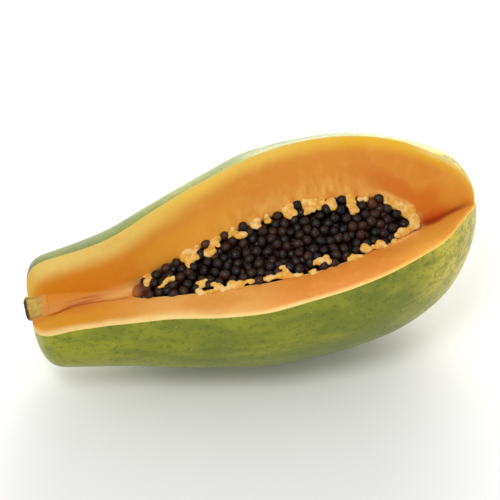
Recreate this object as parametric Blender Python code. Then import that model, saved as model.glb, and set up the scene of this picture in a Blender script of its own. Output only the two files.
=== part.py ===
"""Papaya with a lengthwise wedge cut out: the fruit, the stub of its stem and its heap of seeds.

Every shape is drawn in the fruit's own frame: X runs along the fruit from the stem end to the
blossom end, Z climbs towards the far cut face's edge, and -Y points out of the cut. An empty then
rolls and pitches the fruit to the way it lies on a table. All sizes are in metres.
"""

import math
import random

import bmesh
import bpy
from mathutils import Vector

# The fruit
STEM_END = 0.002
BLOSSOM_END = 0.290
BELLY_AT = 0.175  # where along the fruit its belly is widest
BELLY_RADIUS = 0.068
SHOULDER_LENGTH = 0.018  # the blunt round-over at the stem end
SHOULDER_POWER = 3.2
BLOSSOM_POWER = 2.33  # 2 would be a true ellipse
# Place along the fruit against radius, from the stem's shoulder through the neck to the belly
NECK_TO_BELLY = (
    (0.000, 0.0330),
    (0.030, 0.0380),
    (0.060, 0.0435),
    (0.085, 0.0508),
    (0.115, 0.0590),
    (0.145, 0.0660),
    (BELLY_AT, BELLY_RADIUS),
)
# Place along the fruit against how far its middle line bows up in Z
MIDDLE_LINE = (
    (0.000, -0.0044),
    (0.060, -0.0044),
    (0.115, -0.0006),
    (0.170, 0.0040),
    (0.225, 0.0058),
    (0.262, 0.0084),
    (BLOSSOM_END, 0.0165),
)
LOBES = 5
LOBE_DEPTH = 0.010  # share of the radius that the five soft ridges stand out
LOBE_PHASE = math.radians(20)

# The cut: place along the fruit against the height where the far face starts
FAR_FACE_FOOT = (
    (-0.020, 0.0074),
    (0.022, 0.0050),
    (0.046, 0.0014),
    (0.066, 0.0012),
    (0.100, 0.0040),
    (0.245, 0.0050),
    (0.262, 0.0048),
    (0.274, 0.0088),
    (0.310, 0.0160),
)
# The strip of core left standing between both faces, at its widest by the stem
CORE_BAND_HEIGHT = ((-0.020, 0.0150), (0.022, 0.0065), (0.066, 0.0022), (0.100, 0.0002))
# Lean of the far face out of upright, and drop of the near face below level, in degrees
FAR_FACE_LEAN = (
    (-0.020, 35),
    (0.035, 36),
    (0.070, 31),
    (0.110, 22),
    (0.150, 19),
    (0.200, 16),
    (0.245, 20),
    (0.310, 42),
)
NEAR_FACE_DROP = (
    (-0.020, 19),
    (0.035, 25),
    (0.070, 27),
    (0.110, 30),
    (0.150, 29),
    (0.200, 26),
    (0.245, 20),
    (0.310, 4),
)
CUT_REACH = 0.088
CUT_STEPS = 4

# The seed cavity
# Place along the fruit against radius: a point near the neck, the wide middle that the seeds
# fill, and a shallow empty recess that runs out towards the blossom end
CAVITY_OUTLINE = (
    (0.064, 0.0),
    (0.070, 0.0068),
    (0.078, 0.0102),
    (0.086, 0.0138),
    (0.094, 0.0163),
    (0.104, 0.0182),
    (0.116, 0.0205),
    (0.132, 0.0240),
    (0.148, 0.0270),
    (0.164, 0.0290),
    (0.180, 0.0304),
    (0.196, 0.0294),
    (0.212, 0.0262),
    (0.226, 0.0218),
    (0.236, 0.0168),
    (0.243, 0.0105),
    (0.250, 0.0068),
    (0.260, 0.0050),
    (0.272, 0.0),
)
CAVITY_START = CAVITY_OUTLINE[0][0]
CAVITY_END = CAVITY_OUTLINE[-1][0]
# Place along the fruit against how far the cavity's middle line lies towards the cut, and its height
CAVITY_FORWARD = (
    (0.064, 0.0062),
    (0.094, 0.0076),
    (0.108, 0.0070),
    (0.124, 0.0048),
    (0.140, 0.0034),
    (0.164, 0.0030),
    (0.196, 0.0009),
    (0.228, -0.0006),
    (0.250, 0.0015),
    (0.272, 0.0025),
)
CAVITY_HEIGHT = (
    (0.064, -0.0022),
    (0.078, -0.0034),
    (0.094, -0.0048),
    (0.124, -0.0036),
    (0.164, -0.0020),
    (0.180, 0.0000),
    (0.212, 0.0030),
    (0.228, 0.0052),
    (0.250, 0.0055),
    (0.272, 0.0080),
)

# The seeds and the pulp round them
HEAP_START = 0.067
HEAP_END = 0.247
HEAP_END_LENGTH = 0.008  # how far from its end the heap starts to round off
GAP = 0.0004
HEAP_TOP_DEPTH = 0.0030  # from the line between the cavity's two edges down to the core
SEED_LENGTH = 0.0070
SEED_WIDTH = 0.0060
SEED_ROW_PITCH = 0.0064
SEED_PITCH = 0.0070
SEED_DEPTH = 0.0012
SEED_SCATTER = 0.0009
PULP_PITCH = 0.0130
PULP_LENGTH = 0.0080
PULP_WIDTH = 0.0050
RANDOM_SEED = 11

# The stem's stub
STEM_RADIUS = 0.0080
STEM_OUT = 0.0030
STEM_IN = 0.0115
STEM_TIP_RADIUS = 0.0045
STEM_HEIGHT = -0.0004
STEM_FACE_FORWARD = 0.0004
SOCKET_GAP = 0.0004

# How it lies
ROLL = math.radians(-45)
PITCH = math.radians(-4.5)
FLAT_DEPTH = 0.0012  # the flat that the fruit's own weight presses into its underside
MIDDLE_AT = Vector((0.0011, -0.0036, 0.0646 - FLAT_DEPTH))  # where the fruit's middle ends up

BODY_SEGMENTS = 40
BODY_RINGS = 34
CAVITY_SEGMENTS = 24
CAVITY_RINGS = 26
HEAP_STATIONS = 14
STEM_SEGMENTS = 18

SKIN_GREEN = (0.20, 0.22, 0.05, 1)
FLESH_ORANGE = (0.70, 0.26, 0.05, 1)
SEED_BROWN = (0.022, 0.014, 0.011, 1)
STEM_OLIVE = (0.38, 0.28, 0.09, 1)


def smooth_through(stations, x):
    """The height at x of a smooth curve through (place, height) stations, level past both ends."""
    if x <= stations[0][0]:
        return stations[0][1]
    if x >= stations[-1][0]:
        return stations[-1][1]
    i = max(k for k in range(len(stations) - 1) if stations[k][0] <= x)

    def slope(k):
        before = stations[max(k - 1, 0)]
        after = stations[min(k + 1, len(stations) - 1)]
        return (after[1] - before[1]) / (after[0] - before[0])

    (x0, y0), (x1, y1) = stations[i], stations[i + 1]
    span = x1 - x0
    s = (x - x0) / span
    return (
        y0 * (1 + 2 * s) * (1 - s) ** 2
        + y1 * s * s * (3 - 2 * s)
        + slope(i) * span * s * (1 - s) ** 2
        - slope(i + 1) * span * s * s * (1 - s)
    )


def body_radius(x):
    """The fruit's radius at a place along it."""
    shoulder = max(0.0, 1 - (x - STEM_END) / SHOULDER_LENGTH)
    blossom = min(1.0, max(0.0, (x - BELLY_AT) / (BLOSSOM_END - BELLY_AT)))
    rounding = (1 - shoulder**SHOULDER_POWER) ** (1 / SHOULDER_POWER)
    return smooth_through(NECK_TO_BELLY, x) * rounding * math.sqrt(1 - blossom**BLOSSOM_POWER)


def body_middle(x):
    """How high the fruit's middle line bows at a place along it."""
    return smooth_through(MIDDLE_LINE, x)


def cavity_radius(x):
    """The radius of the hollow at a place along the fruit."""
    return max(0.0, smooth_through(CAVITY_OUTLINE, x))


def cavity_middle(x):
    """Where the hollow's middle line lies at a place along the fruit, as (forward, height)."""
    return Vector((smooth_through(CAVITY_FORWARD, x), smooth_through(CAVITY_HEIGHT, x)))


def heap_radius(x):
    """The radius of what fills the hollow, rounded off at its end."""
    if not HEAP_START < x < HEAP_END:
        return 0.0
    share = max(0.0, 1 - (HEAP_END - x) / HEAP_END_LENGTH)
    return max(0.0, cavity_radius(x) - GAP) * math.sqrt(1 - share * share)


def round_places(start, end, count):
    """Places between two ends, closer together near both, as a round end needs."""
    return [start + (end - start) * (1 - math.cos(math.pi * i / count)) / 2 for i in range(1, count)]


def place(x, forward, height):
    """A point in the fruit's frame from its place along the fruit, out of the cut, and up."""
    return Vector((x, -forward, height))


def material(name, colour, roughness):
    made = bpy.data.materials.new(name)
    made.use_nodes = True
    shader = made.node_tree.nodes["Principled BSDF"]
    shader.inputs["Base Color"].default_value = colour
    shader.inputs["Roughness"].default_value = roughness
    return made


def new_object(name, bm, finish=None, smooth_angle=40):
    """An object from a bmesh whose faces are turned outwards."""
    bmesh.ops.recalc_face_normals(bm, faces=bm.faces)
    mesh = bpy.data.meshes.new(name)
    bm.to_mesh(mesh)
    bm.free()
    mesh.shade_smooth()
    mesh.set_sharp_from_angle(angle=math.radians(smooth_angle))
    if finish:
        mesh.materials.append(finish)
    made = bpy.data.objects.new(name, mesh)
    bpy.context.scene.collection.objects.link(made)
    return made


def loft(name, rings, finish=None, tips=(None, None)):
    """A closed skin over rings of points, ending in tips, or in flat caps where there is no tip."""
    bm = bmesh.new()
    loops = [[bm.verts.new(p) for p in ring] for ring in rings]
    for low, high in zip(loops, loops[1:]):
        for i in range(len(low)):
            j = (i + 1) % len(low)
            bm.faces.new((low[i], low[j], high[j], high[i]))
    for loop, tip in zip((loops[0], loops[-1]), tips):
        if tip is None:
            bm.faces.new(loop)
            continue
        point = bm.verts.new(tip)
        for i in range(len(loop)):
            bm.faces.new((loop[i], loop[(i + 1) % len(loop)], point))
    return new_object(name, bm, finish)


def cutter(made):
    made.hide_render = True
    made.display_type = "WIRE"
    return made


def cut(target, tool):
    """A Boolean that stays live on the target."""
    step = target.modifiers.new(tool.name, "BOOLEAN")
    step.operation = "DIFFERENCE"
    step.solver = "EXACT"
    step.object = tool


def section_ring(x, radius, forward, height, segments, lobe=0.0):
    """Points round a section of the fruit, with its soft ridges where lobe is not 0."""
    ring = []
    for i in range(segments):
        angle = 2 * math.pi * i / segments
        r = radius * (1 + lobe * math.cos(LOBES * angle + LOBE_PHASE))
        ring.append(place(x, forward + r * math.cos(angle), height + r * math.sin(angle)))
    return ring


def make_body(finish):
    """The whole uncut fruit."""
    places = round_places(STEM_END, BLOSSOM_END, BODY_RINGS)
    rings = []
    for x in places:
        lobe = LOBE_DEPTH * math.sin(math.pi * x / BLOSSOM_END)
        rings.append(section_ring(x, body_radius(x), 0, body_middle(x), BODY_SEGMENTS, lobe))
    tips = [place(x, 0, body_middle(x)) for x in (STEM_END, BLOSSOM_END)]
    return loft("papaya", rings, finish, tips)


def cut_lines(x):
    """Where both cut faces start and which way they run, as (forward, height) pairs."""
    far_foot = smooth_through(FAR_FACE_FOOT, x)
    near_foot = far_foot - smooth_through(CORE_BAND_HEIGHT, x)
    lean = math.radians(smooth_through(FAR_FACE_LEAN, x))
    drop = math.radians(smooth_through(NEAR_FACE_DROP, x))
    far_way = Vector((math.sin(lean), math.cos(lean)))
    near_way = Vector((math.cos(drop), -math.sin(drop)))
    return Vector((0, far_foot)), far_way, Vector((0, near_foot)), near_way


def make_wedge():
    """The piece that the knife took out, run past both ends of the fruit."""
    along = round_places(STEM_END, BLOSSOM_END, BODY_RINGS)
    places = [FAR_FACE_FOOT[0][0]] + along + [FAR_FACE_FOOT[-1][0]]
    rings = []
    for x in places:
        far_foot, far_way, near_foot, near_way = cut_lines(x)
        steps = [CUT_REACH * i / CUT_STEPS for i in range(CUT_STEPS + 1)]
        near_side = [near_foot + near_way * step for step in steps]
        far_side = [far_foot + far_way * step for step in reversed(steps)]
        outer = (far_way + near_way).normalized() * CUT_REACH * 1.6
        rings.append([place(x, *p) for p in near_side + [outer] + far_side])
    return cutter(loft("wedge_cutter", rings))


def make_cavity(name, start, end, radius):
    """A closed body round the cavity's middle line, from start to end, by a rule for its radius."""
    places = round_places(CAVITY_START, CAVITY_END, CAVITY_RINGS)
    rings = [
        section_ring(x, radius(x), *cavity_middle(x), CAVITY_SEGMENTS)
        for x in places
        if start < x < end
    ]
    tips = [place(x, *cavity_middle(x)) for x in (start, end)]
    return loft(name, rings, None, tips)


def cavity_edge(x, foot, way, radius):
    """Where a cut face running from foot along way meets the heap's outline."""
    out = foot - cavity_middle(x)
    along = out.dot(way)
    inside = along * along - out.length_squared + radius * radius
    if inside <= 0:
        return None
    return foot + way * (math.sqrt(inside) - along)


def heap_line(x):
    """The heap's top across the cavity: its far end, near end and the way it faces."""
    far_foot, far_way, near_foot, near_way = cut_lines(x)
    radius = heap_radius(x)
    far_edge = cavity_edge(x, far_foot, far_way, radius)
    near_edge = cavity_edge(x, near_foot, near_way, radius)
    if far_edge is None or near_edge is None:
        return None
    along = (near_edge - far_edge).normalized()
    return far_edge, near_edge, Vector((-along.y, along.x))


def make_heap_top():
    """What is cut off the filled cavity to leave the heap's core."""
    lines = []
    for i in range(HEAP_STATIONS + 1):
        x = HEAP_START + (HEAP_END - HEAP_START) * i / HEAP_STATIONS
        line = heap_line(x)
        if line:
            lines.append((x, *line))
    lines.insert(0, (HEAP_START - 0.01, *lines[0][1:]))
    lines.append((HEAP_END + 0.01, *lines[-1][1:]))
    rings = []
    for x, far_edge, near_edge, facing in lines:
        middle = (far_edge + near_edge) / 2 - facing * HEAP_TOP_DEPTH
        across = Vector((facing.y, -facing.x)) * CUT_REACH / 2
        up = facing * CUT_REACH / 2
        corners = (middle - across, middle + across, middle + across + up, middle - across + up)
        rings.append([place(x, *p) for p in corners])
    return cutter(loft("heap_top_cutter", rings))


def grain(name, centre, size, turn):
    """An egg-shaped grain with few sides."""
    bm = bmesh.new()
    bmesh.ops.create_uvsphere(bm, u_segments=5, v_segments=4, radius=0.5)
    bmesh.ops.scale(bm, vec=size, verts=bm.verts)
    bmesh.ops.rotate(bm, matrix=turn, verts=bm.verts)
    bmesh.ops.translate(bm, vec=centre, verts=bm.verts)
    return new_object(name, bm)


def random_turn(dice):
    """A turn that points a grain any way."""
    tilt = Vector((dice.uniform(-1, 1), dice.uniform(-1, 1), dice.uniform(-1, 1)))
    return tilt.to_track_quat("X", "Z").to_matrix()


def fits_cavity(x, spot, reach):
    """Whether a grain of that reach stays off the flesh all round."""
    off_axis = (spot - cavity_middle(x)).length
    shrink = reach + GAP
    around = min(cavity_radius(x + step) for step in (-reach, 0, reach))
    return off_axis < around - shrink


def scatter_seeds(dice):
    """Seeds in staggered rows over the heap's top."""
    seeds = []
    size = Vector((SEED_LENGTH, SEED_WIDTH, SEED_WIDTH))
    rows = int((HEAP_END - HEAP_START) / SEED_ROW_PITCH)
    for row in range(rows + 1):
        x = HEAP_START + row * SEED_ROW_PITCH
        line = heap_line(x)
        if not line:
            continue
        far_edge, near_edge, facing = line
        width = (near_edge - far_edge).length
        count = int(width / SEED_PITCH)
        for i in range(count + 1):
            shift = dice.uniform(-1, 1) * SEED_SCATTER
            lift = dice.uniform(-1, 1) * SEED_SCATTER
            share = (i + 0.25 + 0.5 * (row % 2)) / (count + 1)
            spot = far_edge.lerp(near_edge, share) + facing * (lift - SEED_DEPTH)
            turn = random_turn(dice)
            if fits_cavity(x + shift, spot, SEED_LENGTH / 2):
                seeds.append(grain("seed", place(x + shift, *spot), size, turn))
    return seeds


def scatter_pulp(dice):
    """Soft lumps of pulp among the seeds, close to both edges of the cavity."""
    lumps = []
    size = Vector((PULP_LENGTH, PULP_WIDTH, PULP_WIDTH))
    for row in range(int((HEAP_END - HEAP_START) / PULP_PITCH)):
        x = HEAP_START + (row + 0.5) * PULP_PITCH
        line = heap_line(x)
        if not line:
            continue
        far_edge, near_edge, facing = line
        inward = (near_edge - far_edge).normalized() * (PULP_LENGTH / 2 + 2 * GAP)
        for edge, way in ((far_edge, inward), (near_edge, -inward)):
            spot = edge + way - facing * SEED_DEPTH
            turn = random_turn(dice)
            if fits_cavity(x, spot, PULP_LENGTH / 2):
                lumps.append(grain("pulp", place(x, *spot), size, turn))
    return lumps


def join_all(target, pieces):
    """One Boolean union of the target with every piece, after which the pieces are gone."""
    group = bpy.data.collections.new("heap_pieces")
    bpy.context.scene.collection.children.link(group)
    for piece in pieces:
        bpy.context.scene.collection.objects.unlink(piece)
        group.objects.link(piece)
    step = target.modifiers.new("union", "BOOLEAN")
    step.operation = "UNION"
    step.operand_type = "COLLECTION"
    step.solver = "EXACT"
    step.collection = group
    with bpy.context.temp_override(object=target, active_object=target):
        for name in [m.name for m in target.modifiers]:
            bpy.ops.object.modifier_apply(modifier=name)
    for piece in pieces:
        bpy.data.objects.remove(piece)
    bpy.data.collections.remove(group)


def keep_largest_body(made):
    """Drops the grains that the union left loose beside the heap."""
    bm = bmesh.new()
    bm.from_mesh(made.data)
    waiting = set(bm.verts)
    bodies = []
    while waiting:
        body = set()
        edge = [waiting.pop()]
        while edge:
            vert = edge.pop()
            body.add(vert)
            beside = {link.other_vert(vert) for link in vert.link_edges} & waiting
            waiting -= beside
            edge.extend(beside)
        bodies.append(body)
    bodies.sort(key=len)
    for scrap in bodies[:-1]:
        bmesh.ops.delete(bm, geom=list(scrap), context="VERTS")
    bm.to_mesh(made.data)
    bm.free()


def make_heap(finish):
    """The seed heap: the cavity filled to its line, with the seeds and pulp that show fused on."""
    core = make_cavity("seed_heap", HEAP_START, HEAP_END, heap_radius)
    core.data.materials.append(finish)
    top = make_heap_top()
    cut(core, top)
    dice = random.Random(RANDOM_SEED)
    join_all(core, scatter_pulp(dice) + scatter_seeds(dice))
    keep_largest_body(core)
    bpy.data.objects.remove(top)
    core.data.shade_flat()
    return core


def stem_rings(grow):
    """The stub from its outer end to its tip in the flesh, grown by a gap for its socket."""
    outline = (
        (-STEM_OUT - grow, 0.80),
        (-STEM_OUT * 0.7 - grow, 0.96),
        (0.0, 1.0),
        (STEM_IN * 0.5, 0.92),
        (STEM_IN + grow, STEM_TIP_RADIUS / STEM_RADIUS),
    )
    return [
        section_ring(STEM_END + x, STEM_RADIUS * share + grow, 0, STEM_HEIGHT, STEM_SEGMENTS)
        for x, share in outline
    ]


def make_stem(finish):
    """The stub of the stem, sliced lengthwise where the knife met it."""
    stem = loft("stem_stub", stem_rings(0), finish)
    bm = bmesh.new()
    bm.from_mesh(stem.data)
    sliced = bmesh.ops.bisect_plane(
        bm,
        geom=bm.verts[:] + bm.edges[:] + bm.faces[:],
        plane_co=place(STEM_END, STEM_FACE_FORWARD, 0),
        plane_no=(0, -1, 0),
        clear_outer=True,
    )
    rim = [e for e in sliced["geom_cut"] if isinstance(e, bmesh.types.BMEdge)]
    bmesh.ops.edgeloop_fill(bm, edges=rim)
    bmesh.ops.recalc_face_normals(bm, faces=bm.faces)
    bm.to_mesh(stem.data)
    bm.free()
    return stem


def make_socket():
    rings = stem_rings(SOCKET_GAP)
    outside = [p + Vector((-0.02, 0, 0)) for p in rings[0]]
    return cutter(loft("socket_cutter", [outside] + rings))


def make_floor():
    """What the table's top takes off the round underside, drawn in the world's frame."""
    bm = bmesh.new()
    bmesh.ops.create_cube(bm, size=1.0)
    bmesh.ops.scale(bm, vec=(0.6, 0.3, 0.05), verts=bm.verts)
    bmesh.ops.translate(bm, vec=(0, 0, -0.025), verts=bm.verts)
    return cutter(new_object("floor_cutter", bm))


def main():
    for old in list(bpy.data.objects):
        bpy.data.objects.remove(old)
    flesh = material("flesh", FLESH_ORANGE, 0.45)
    seed = material("seed", SEED_BROWN, 0.35)
    bark = material("stem", STEM_OLIVE, 0.7)

    lie = bpy.data.objects.new("lie", None)
    bpy.context.scene.collection.objects.link(lie)
    lie.rotation_euler = (ROLL, PITCH, 0)
    turn = lie.rotation_euler.to_matrix()
    lie.location = MIDDLE_AT - turn @ Vector((BLOSSOM_END / 2, 0, 0))

    fruit = make_body(flesh)
    tools = [
        make_wedge(),
        cutter(make_cavity("cavity_cutter", CAVITY_START, CAVITY_END, cavity_radius)),
        make_socket(),
    ]
    for tool in tools:
        cut(fruit, tool)
    floor = make_floor()
    cut(fruit, floor)
    for piece in [fruit, make_heap(seed), make_stem(bark)] + tools:
        piece.parent = lie


main()
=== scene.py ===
# %% [markdown]
# A papaya with a wedge cut out
#
# The fruit lies on its side on a pale table. A knife has taken out a lengthwise wedge, so we look
# down into a notch with two cut faces: a tall far one and a narrow near one. Between them the seed
# cavity is heaped with dark seeds. This lesson makes the fruit, the seeds, the pulp that holds them
# and the stub of the stem, and gives each a finish worked out from where a point lies in the fruit.
#
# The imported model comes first. It fixes the size and the place of everything, so the pieces below
# are made inside its box.

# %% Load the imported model
import math
import random
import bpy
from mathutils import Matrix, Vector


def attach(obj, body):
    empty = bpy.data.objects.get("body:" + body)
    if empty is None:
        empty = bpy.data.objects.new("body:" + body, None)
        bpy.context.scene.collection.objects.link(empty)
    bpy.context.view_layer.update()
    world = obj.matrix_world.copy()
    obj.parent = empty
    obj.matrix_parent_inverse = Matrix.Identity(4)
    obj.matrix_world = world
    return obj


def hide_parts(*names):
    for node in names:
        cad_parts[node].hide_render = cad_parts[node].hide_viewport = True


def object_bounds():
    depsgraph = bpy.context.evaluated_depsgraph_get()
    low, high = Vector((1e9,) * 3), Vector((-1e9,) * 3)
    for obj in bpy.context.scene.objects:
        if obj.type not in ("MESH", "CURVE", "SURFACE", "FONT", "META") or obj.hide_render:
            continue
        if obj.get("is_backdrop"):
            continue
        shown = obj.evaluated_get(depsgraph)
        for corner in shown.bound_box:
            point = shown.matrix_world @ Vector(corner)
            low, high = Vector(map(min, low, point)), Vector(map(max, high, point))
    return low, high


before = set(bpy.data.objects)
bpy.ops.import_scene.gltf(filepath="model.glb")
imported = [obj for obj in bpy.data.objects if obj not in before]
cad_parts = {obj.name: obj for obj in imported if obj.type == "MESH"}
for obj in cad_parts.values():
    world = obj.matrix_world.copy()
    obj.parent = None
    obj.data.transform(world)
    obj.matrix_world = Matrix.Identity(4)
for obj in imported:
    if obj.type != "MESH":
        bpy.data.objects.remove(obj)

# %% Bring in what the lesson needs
from types import SimpleNamespace

import bmesh
import bpy
from mathutils import Euler, Matrix, Vector

cad_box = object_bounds()
print("the packed model is", [round((b - a) * 1000) for a, b in zip(*cad_box)], "mm")

# %% [markdown]
# The fruit's own frame
#
# It is easier to shape a fruit while it lies straight along X than while it leans on a table. So
# every piece is made in the fruit's own frame: X runs from the stem to the blossom end, Z climbs
# towards the far face's edge, and -Y points out of the cut. When a piece is done, it is rolled and
# pitched to the way the fruit lies, and that turn is applied to its mesh.

# %% The fruit's frame
STEM_END, BLOSSOM_END = 0.002, 0.290
MIDDLE = Vector((0.0011, -0.0036, 0.0634))
LIE = Euler((math.radians(-45), math.radians(-4.5), 0)).to_matrix().to_4x4()
LIE.translation = MIDDLE - LIE.to_3x3() @ Vector((BLOSSOM_END / 2, 0, 0))
print("the stem end lies at", [round(v * 1000, 1) for v in LIE.translation], "mm")

# %% [markdown]
# The outlines
#
# A long papaya is a blunt neck that swells to a belly and rounds off at the blossom end. Stations
# along the fruit give its radius, how its middle line bows, and how both cut faces lean. A smooth
# curve through the stations gives every place between them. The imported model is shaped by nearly
# the same values: only the leans, the band at the neck and the cavity's tip were refined here.

# %% A smooth curve through stations
def through(stations, x):
    """The value at x of a smooth curve through (place, value) stations, level past both ends."""
    if x <= stations[0][0]:
        return stations[0][1]
    if x >= stations[-1][0]:
        return stations[-1][1]
    i = max(k for k in range(len(stations) - 1) if stations[k][0] <= x)

    def slope(k):
        before, after = stations[max(k - 1, 0)], stations[min(k + 1, len(stations) - 1)]
        return (after[1] - before[1]) / (after[0] - before[0])

    (x0, y0), (x1, y1) = stations[i], stations[i + 1]
    span = x1 - x0
    s = (x - x0) / span
    rise = slope(i) * span * s * (1 - s) ** 2 - slope(i + 1) * span * s * s * (1 - s)
    return y0 * (1 + 2 * s) * (1 - s) ** 2 + y1 * s * s * (3 - 2 * s) + rise


# %% The uncut fruit's outline
BELLY_AT = 0.175
SHOULDER_LENGTH, SHOULDER_POWER, BLOSSOM_POWER = 0.018, 3.2, 2.33
NECK_TO_BELLY = (
    (0.000, 0.0330), (0.030, 0.0380), (0.060, 0.0435), (0.085, 0.0508),
    (0.115, 0.0590), (0.145, 0.0660), (BELLY_AT, 0.0680),
)
MIDDLE_LINE = (
    (0.000, -0.0044), (0.060, -0.0044), (0.115, -0.0006), (0.170, 0.0040),
    (0.225, 0.0058), (0.262, 0.0084), (BLOSSOM_END, 0.0165),
)


def fruit_radius(x):
    """The fruit's radius at a place along it."""
    shoulder = min(1.0, max(0.0, 1 - (x - STEM_END) / SHOULDER_LENGTH))
    blossom = min(1.0, max(0.0, (x - BELLY_AT) / (BLOSSOM_END - BELLY_AT)))
    rounding = (1 - shoulder**SHOULDER_POWER) ** (1 / SHOULDER_POWER)
    return through(NECK_TO_BELLY, x) * rounding * math.sqrt(1 - blossom**BLOSSOM_POWER)


print("radius at the neck and belly:", [round(fruit_radius(x) * 1000, 1) for x in (0.03, BELLY_AT)])

# %% The two cut faces' outlines
FAR_FOOT = (
    (-0.020, 0.0074), (0.022, 0.0050), (0.046, 0.0014), (0.066, 0.0012), (0.100, 0.0040),
    (0.245, 0.0050), (0.262, 0.0048), (0.274, 0.0088), (0.310, 0.0160),
)
BAND_HEIGHT = (
    (-0.020, 0.0190), (0.010, 0.0125), (0.027, 0.0088), (0.046, 0.0054), (0.066, 0.0032),
    (0.100, 0.0004),
)
FAR_LEAN = (
    (-0.020, 42), (0.006, 41), (0.016, 38.5), (0.035, 38), (0.055, 35), (0.070, 31), (0.110, 24),
    (0.130, 23.5), (0.150, 22), (0.170, 19.5), (0.200, 16), (0.245, 20), (0.262, 27), (0.274, 34),
    (0.284, 39), (0.310, 46),
)
NEAR_DROP = (
    (-0.020, 21), (0.010, 21.8), (0.023, 21.2), (0.046, 21), (0.062, 23), (0.082, 25.4),
    (0.100, 28.8), (0.113, 30), (0.139, 30.2), (0.165, 28), (0.200, 25), (0.229, 21),
    (0.255, 15.4), (0.274, 9), (0.290, 4.5), (0.310, 1),
)


def cut_lines(x):
    """Each cut face's foot and the way it runs from there, as (forward, height) pairs."""
    foot = through(FAR_FOOT, x)
    lean = math.radians(through(FAR_LEAN, x))
    drop = math.radians(through(NEAR_DROP, x))
    far_way = Vector((math.sin(lean), math.cos(lean)))
    near_way = Vector((math.cos(drop), -math.sin(drop)))
    return Vector((0, foot)), far_way, Vector((0, foot - through(BAND_HEIGHT, x))), near_way


print("the far face leans", round(through(FAR_LEAN, BELLY_AT), 1), "degrees at the belly")

# %% The seed cavity's outline and the heap's
CAVITY_OUTLINE = (
    (0.064, 0.0), (0.070, 0.0068), (0.078, 0.0102), (0.086, 0.0138), (0.094, 0.0163),
    (0.104, 0.0182), (0.116, 0.0205), (0.132, 0.0240), (0.148, 0.0270), (0.164, 0.0290),
    (0.180, 0.0304), (0.196, 0.0294), (0.212, 0.0262), (0.226, 0.0218), (0.236, 0.0168),
    (0.243, 0.0112), (0.248, 0.0080), (0.252, 0.0),
)
CAVITY_FORWARD = (
    (0.064, 0.0062), (0.094, 0.0076), (0.108, 0.0070), (0.124, 0.0048), (0.140, 0.0034),
    (0.164, 0.0030), (0.196, 0.0009), (0.228, -0.0006), (0.250, 0.0015), (0.272, 0.0025),
)
CAVITY_HEIGHT = (
    (0.064, -0.0022), (0.078, -0.0034), (0.094, -0.0048), (0.124, -0.0036), (0.164, -0.0020),
    (0.180, 0.0000), (0.212, 0.0030), (0.228, 0.0052), (0.250, 0.0055), (0.272, 0.0080),
)
CAVITY_START, CAVITY_END = CAVITY_OUTLINE[0][0], CAVITY_OUTLINE[-1][0]
HEAP_START, HEAP_END, HEAP_END_LENGTH = 0.073, 0.247, 0.008


def cavity_radius(x):
    return max(0.0, through(CAVITY_OUTLINE, x))


def cavity_middle(x):
    return Vector((through(CAVITY_FORWARD, x), through(CAVITY_HEIGHT, x)))


def edge_on(x, foot, way):
    """Where a cut face leaves the cavity, or None where the face misses it."""
    out = foot - cavity_middle(x)
    along = out.dot(way)
    inside = along * along - out.length_squared + cavity_radius(x) ** 2
    return foot + way * (math.sqrt(inside) - along) if inside > 0 else None


def heap_line(x):
    """The line across the heap from its far edge to its near edge, and the way it faces."""
    x = min(max(x, HEAP_START), HEAP_END - 0.001)
    far_foot, far_way, near_foot, near_way = cut_lines(x)
    far_edge, near_edge = edge_on(x, far_foot, far_way), edge_on(x, near_foot, near_way)
    along = (near_edge - far_edge).normalized()
    return far_edge, near_edge, Vector((-along.y, along.x))


def at(x, pair):
    """A point in the fruit's frame from its place along the fruit and its (forward, height)."""
    return Vector((x, -pair[0], pair[1]))


far, near, _ = heap_line(0.17)
print("the heap is", round((near - far).length * 1000, 1), "mm across at the belly")

# %% [markdown]
# The camera and the light
#
# The photograph looks down on the fruit from the front, a little from its left, through a long
# lens. The light is broad and soft, as inside a white tent: it has no hard shadow, and it puts a
# pale shine on the skin where that turns away from us. A white world gives most of it, and large
# lamps add a direction: one above and in front, and one low behind, which makes the back shine.

# %% The camera
AZIMUTH, ELEVATION = math.radians(-10.98), math.radians(45)
LENS, SENSOR_WIDTH = 149.07, 36
DISTANCE, SHIFT_LEFT, SHIFT_UP = 1.3, 0.00272, 0.00898
back = Vector((
    math.sin(AZIMUTH) * math.cos(ELEVATION),
    -math.cos(AZIMUTH) * math.cos(ELEVATION),
    math.sin(ELEVATION),
))
right = Vector((math.cos(AZIMUTH), math.sin(AZIMUTH), 0))
up = back.cross(right)
camera_data = bpy.data.cameras.new("camera")
camera_data.lens = LENS
camera_data.sensor_width = SENSOR_WIDTH
camera = bpy.data.objects.new("camera", camera_data)
camera.matrix_world = Matrix((right, up, back)).transposed().to_4x4()
camera.location = MIDDLE - right * SHIFT_LEFT + up * SHIFT_UP + back * DISTANCE
bpy.context.scene.collection.objects.link(camera)
bpy.context.scene.camera = camera
print("the camera stands at", [round(v, 3) for v in camera.location])

# %% The world and the lamps
scene = bpy.context.scene
scene.view_settings.view_transform = "Standard"
world = bpy.data.worlds.new("studio")
scene.world = world
world.use_nodes = True
world.node_tree.nodes["Background"].inputs["Color"].default_value = (1, 1, 1, 1)
world.node_tree.nodes["Background"].inputs["Strength"].default_value = 0.72


def lamp(name, place, size, power, target=(0, 0, 0.05)):
    """A large soft lamp at a place, turned to its target, and not seen itself."""
    data = bpy.data.lights.new(name, "AREA")
    data.shape = "DISK"
    data.size = size
    data.energy = power
    made = bpy.data.objects.new(name, data)
    made.location = place
    made.rotation_euler = (Vector(target) - Vector(place)).to_track_quat("-Z", "Y").to_euler()
    made.visible_camera = False
    bpy.context.scene.collection.objects.link(made)
    return made


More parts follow.
